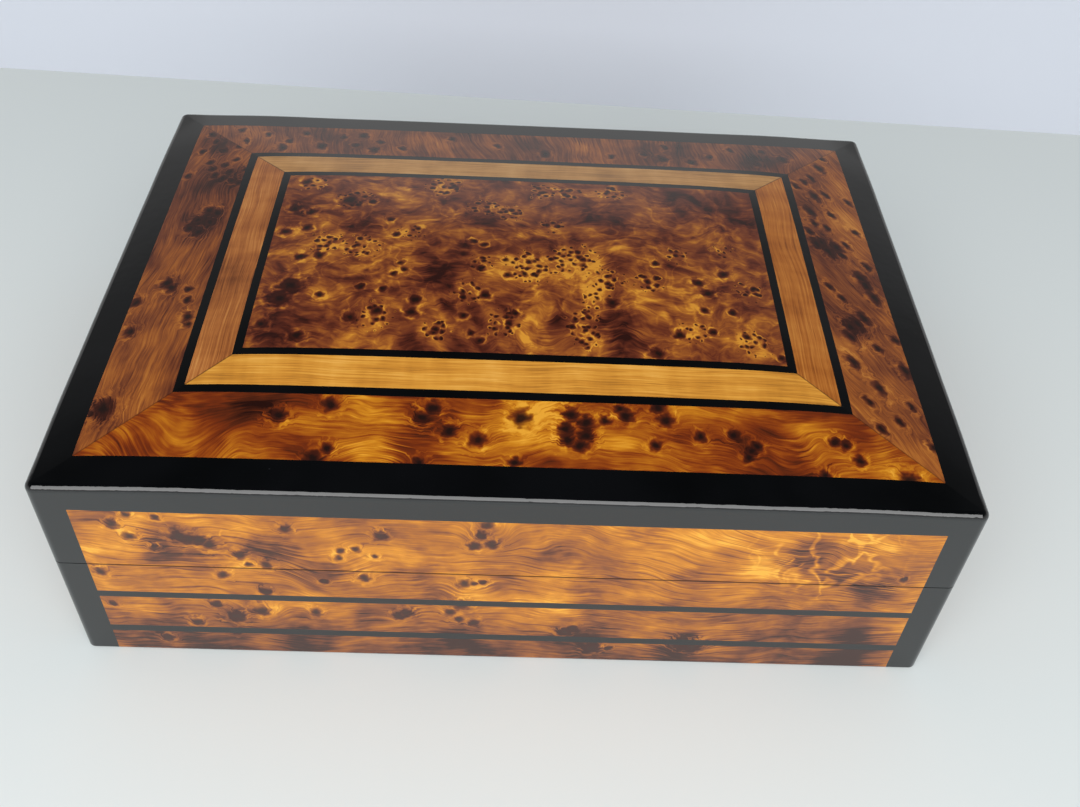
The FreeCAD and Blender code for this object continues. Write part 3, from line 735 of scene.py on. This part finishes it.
# On the walls, joint darkens the seam between base and lid with painted shade.
WALL_LOOK = dict(figure=WALL_FIGURE, drift=PLAIN_DRIFT, tints=WALL_TINTS, lines=0.17, year=2.3,
                 pith=BROWN_PITH, joint=shaded_seam)


def paint(material, *names):
    for name in names:
        slots = shown[name].data.materials
        slots.clear()
        slots.append(material)


make_camera()
BLACK = black_lacquer("ebonised wood under lacquer")
STRING = black_lacquer("black dyed stringing under lacquer")
CARCASS = mahogany("mahogany boards")
BRASS = brass("polished brass")
# A nap's fibres are finer than the picture shows. They are drawn 0.6 mm wide on suede and 0.9 on felt.
SUEDE = napped("wine suede lining", ("#3C101A", "#571A26", "#6E2733"), fibre=0.6, brushed=26.0, depth=0.1)
FELT = napped("brown wool felt", ("#2A221D", "#3A3029", "#4A3E35"), fibre=0.9, brushed=30.0, depth=0.25)

for name in shown:
    if name.endswith(("_post", "_rail")):
        paint(BLACK, name)
    elif name.endswith("_stringing"):
        paint(STRING, name)
    elif "hinge" in name:
        paint(BRASS, name)
    elif name.endswith("_lining"):
        paint(SUEDE, name)
    elif name.endswith("_felt"):
        paint(FELT, name)
    else:
        paint(CARCASS, name)

CENTRE = burl("thuya burl, centre of the lid", TOP_PLANE, 3.0, CENTRE_EYES, CENTRE_TONES,
              crowd=CENTRE_CROWD, veins=CENTRE_VEINS, **CENTRE_LOOK)
BORDERS = {
    "front": burl("thuya burl, front border", TOP_PLANE, 11.0, FRONT_EYES, FRONT_TONES, tone=0.52,
                  swirls=FRONT_SWIRLS, **FRONT_LOOK),
    "left": burl("thuya burl, left border", TOP_PLANE, 12.0, LEFT_EYES, LEFT_TONES, tone=0.52,
                 turn=86, stretch=1.3, lines=0.06, **BORDER_LOOK),
    "right": burl("thuya burl, right border", TOP_PLANE, 13.0, RIGHT_EYES, RIGHT_TONES, tone=0.59,
                  turn=114, stretch=1.9, lines=0.08, **BORDER_LOOK),
    "back": burl("thuya burl, back border", TOP_PLANE, 14.0, BACK_EYES, BACK_TONES, tone=0.47,
                 turn=100, stretch=1.5, lines=0.08, **BORDER_LOOK),
}
WALLS = {
    "front": burl("thuya burl, front wall", LONG_WALL, 21.0, WALL_EYES, WALL_TONES, tone=0.55,
                  clouds=1.2, swirls=WALL_SWIRLS, veins=WALL_VEINS, **WALL_LOOK),
    "back": burl("thuya burl, back wall", LONG_WALL, 22.0, WALL_EYES, WALL_TONES, tone=0.54,
                 clouds=1.0, swirls=WALL_SWIRLS, **WALL_LOOK),
    "left": burl("thuya burl, left wall", SHORT_WALL, 23.0, SIDE_EYES, SIDE_TONES, tone=0.53,
                 clouds=1.2, veins=SIDE_VEINS, **WALL_LOOK),
    "right": burl("thuya burl, right wall", SHORT_WALL, 24.0, SIDE_EYES, SIDE_TONES, tone=0.53,
                  clouds=1.2, veins=SIDE_VEINS, **WALL_LOOK),
}
paint(CENTRE, "lid_centre_burl")
for number, side in enumerate(SIDES):
    strips = [f"base_{side}_{row}_burl" for row in ("lower", "middle", "upper")]
    paint(WALLS[side], f"lid_{side}_burl", *strips)
    paint(BORDERS[side], f"lid_{side}_burl_band")
    pale = pale_wood(f"cherry crossband, {side}", FIBRES_ALONG[side], PALE_TINTS[side], number * 5.0)
    paint(pale, f"lid_{side}_pale_band")


# Linings and felt, modelled over their plain solids

WALL_CARD = 1.5 * MM
CARD_EDGE = 0.6 * MM
CARD_SWELLS = ((3 * MM, 0.16 * MM), (5 * MM, 0.10 * MM), (9 * MM, 0.05 * MM))


def covered_card(shape, low, high, facing, swells=CARD_SWELLS):
    """A card with soft edges. Its seen side is set back by the height of the swells.

    The bevel's list of faces leaves out the card's flat ones. So the swells fall on a small facet at a
    corner, where they fold out by some millimetres, and the seen face stays flat.
    """
    facing = Vector(facing)
    rise = facing * sum(swell for inset, swell in swells)
    low = Vector([a - min(b, 0) for a, b in zip(low, rise)])
    high = Vector([a - max(b, 0) for a, b in zip(high, rise)])
    block = Matrix.Translation((low + high) / 2) @ Matrix.Diagonal([*(high - low), 1.0])
    corners = bmesh.ops.create_cube(shape, size=1.0, matrix=block)["verts"]
    edges = {line for corner in corners for line in corner.link_edges}
    rounded = bmesh.ops.bevel(
        shape, geom=list(edges), offset=CARD_EDGE, segments=3, profile=0.5, affect="EDGES", material=-1)
    shape.normal_update()
    facet = max(rounded["faces"], key=lambda face: face.calc_area() * (face.normal.dot(facing) > 0.99))
    for inset, swell in swells:
        bmesh.ops.inset_region(shape, faces=[facet], thickness=inset, depth=swell, use_even_offset=True)


def finish_piece(name, shape, material, body, node):
    """Turns a finished shape into a piece that rides on body in place of a CAD node."""
    for face in shape.faces:
        face.smooth = True
    mesh = bpy.data.meshes.new(name)
    shape.to_mesh(mesh)
    shape.free()
    piece = bpy.data.objects.new(name, mesh)
    bpy.context.collection.objects.link(piece)
    mesh.materials.append(material)
    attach(piece, body)
    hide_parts(node)
    return piece


def flat_card(name, node, body, facing, material, swells=CARD_SWELLS):
    shape = bmesh.new()
    covered_card(shape, *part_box(node), facing, swells)
    return finish_piece(name, shape, material, body, node)


def wall_cards(name, node, body, material):
    """Four cards round the inside walls. The long ones run through and the short ones stand between."""
    low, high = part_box(node)
    shape = bmesh.new()
    for facing in ((0, 1, 0), (0, -1, 0), (1, 0, 0), (-1, 0, 0)):
        near, far = low.copy(), high.copy()
        for axis in (0, 1):
            if facing[axis] > 0:
                far[axis] = near[axis] + WALL_CARD
            elif facing[axis] < 0:
                near[axis] = far[axis] - WALL_CARD
            elif axis == 1:
                near[axis] += WALL_CARD
                far[axis] -= WALL_CARD
        covered_card(shape, near, far, facing)
    return finish_piece(name, shape, material, body, node)


floor_card = flat_card("floor_card", "floor_lining", "base_box", (0, 0, 1), SUEDE)
ceiling_card = flat_card("ceiling_card", "ceiling_lining", "lid", (0, 0, -1), SUEDE)
base_cards = wall_cards("base_wall_cards", "base_wall_lining", "base_box", SUEDE)
lid_cards = wall_cards("lid_wall_cards", "lid_wall_lining", "lid", SUEDE)
felt = flat_card("felt_sheet", "underside_felt", "base_box", (0, 0, -1), FELT, swells=())


# Table and backdrop: a table painted white, and a plastered wall behind it

TABLE_REACH = 5.0
BACKDROP_HEIGHT = 3.0
BACKDROP_LEFT = Vector((-0.317, 0.296, 0.0))
BACKDROP_RIGHT = Vector((0.340, 0.269, 0.0))
BACKDROP_PAST = 3.0
MATT_PAINT = {"Roughness": 0.8, "Specular IOR Level": 0.1}
# Between these distances from the middle the table turns, for the eye only, to the pale tone it has in
# the photograph, which the lamp doesn't reach far enough to give it
EVEN_FROM = 0.36
EVEN_BY = 0.74
EVEN_TONE = "#D6DBDB"


def stage_plane(name, corners, tone):
    """A plane of matt paint that isn't part of the box, with its node tree, shader and output."""
    shape = bmesh.new()
    shape.faces.new([shape.verts.new(corner) for corner in corners])
    mesh = bpy.data.meshes.new(name)
    shape.to_mesh(mesh)
    shape.free()
    made = bpy.data.objects.new(name, mesh)
    bpy.context.collection.objects.link(made)
    material, tree, shader = start_material(name, {**MATT_PAINT, "Base Color": colour(tone)})
    mesh.materials.append(material)
    return made, tree, shader.outputs[0]


def use_surface(tree, shaded):
    tree.links.new(shaded, tree.nodes["Material Output"].inputs[0])


def make_table():
    corners = [(x * TABLE_REACH, y * TABLE_REACH, 0) for x, y in ((-1, -1), (1, -1), (1, 1), (-1, 1))]
    _, tree, paint_shader = stage_plane("table", corners, "#E5EAE8")
    away = add(tree, "VectorMath", [add(tree, "TexCoord", out="Object")], out="Value", operation="LENGTH")
    even = add(tree, "MapRange", [away, EVEN_FROM, EVEN_BY, 0.0, 1.0], interpolation_type="SMOOTHSTEP")
    rays = add(tree, "LightPath").node.outputs
    looked_at = add(tree, "Math", [rays["Is Camera Ray"], rays["Is Glossy Ray"]], operation="MAXIMUM")
    even = add(tree, "Math", [even, looked_at], operation="MULTIPLY")
    pale = add(tree, "Emission", [colour(EVEN_TONE), 1.0])
    use_surface(tree, add(tree, "MixShader", [even, paint_shader, pale]))


def make_backdrop():
    """The wall shows from the front only, so that the box can be looked at from behind."""
    past = (BACKDROP_RIGHT - BACKDROP_LEFT).normalized() * BACKDROP_PAST
    up = Vector((0, 0, BACKDROP_HEIGHT))
    left, right = BACKDROP_LEFT - past, BACKDROP_RIGHT + past
    backdrop, tree, paint_shader = stage_plane("backdrop", [left, right, right + up, left + up], "#D9DDE6")
    backdrop.visible_glossy = False
    backdrop.visible_diffuse = False
    backdrop.visible_shadow = False
    behind = add(tree, "NewGeometry", out="Backfacing")
    use_surface(tree, add(tree, "MixShader", [behind, paint_shader, add(tree, "BsdfTransparent")]))


# Light: an even pale room, which the lacquer mirrors darker the higher it looks, and one wide soft lamp

ROOM_LIGHT = ("#F2F8FF", 0.46)
ROOM_SEEN = "#DDE1E6"
ROOM_MIRRORED = [
    (0.0, 0.6), (0.3, 0.52), (0.42, 0.32), (0.5, 0.14), (0.62, 0.06), (0.8, 0.015), (1.0, 0.005),
]
LAMP_PLACE = (-0.06, -0.95, 0.78)
LAMP_AIM = (0.0, -0.05, 0.0)
LAMP_SIZE = (1.6, 1.0)
LAMP_WATTS = 15.2


def make_world():
    world = bpy.data.worlds.new("studio")
    bpy.context.scene.world = world
    world.use_nodes = True
    tree = world.node_tree
    tree.nodes.clear()
    rays = add(tree, "LightPath").node.outputs
    tint, strength = ROOM_LIGHT
    ambient = add(tree, "Background", [colour(tint), strength])
    seen = add(tree, "Background", [colour(ROOM_SEEN), 1.0])
    height = add(tree, "SeparateXYZ", [add(tree, "TexCoord", out="Generated")], out="Z")
    mirrored = add(tree, "ValToRGB", [height], stops=ROOM_MIRRORED)
    mirror = add(tree, "Background", [mirrored, 1.0])
    light = add(tree, "MixShader", [rays["Is Glossy Ray"], ambient, mirror])
    light = add(tree, "MixShader", [rays["Is Camera Ray"], light, seen])
    add(tree, "OutputWorld", [light])


def make_lamp():
    data = bpy.data.lights.new("key", "AREA")
    data.shape = "RECTANGLE"
    data.size, data.size_y = LAMP_SIZE
    data.energy = LAMP_WATTS
    lamp = bpy.data.objects.new("key", data)
    lamp.location = LAMP_PLACE
    aim = Vector(LAMP_AIM) - Vector(LAMP_PLACE)
    lamp.rotation_euler = aim.to_track_quat("-Z", "Y").to_euler()
    bpy.context.collection.objects.link(lamp)


make_table()
make_backdrop()
make_world()
make_lamp()
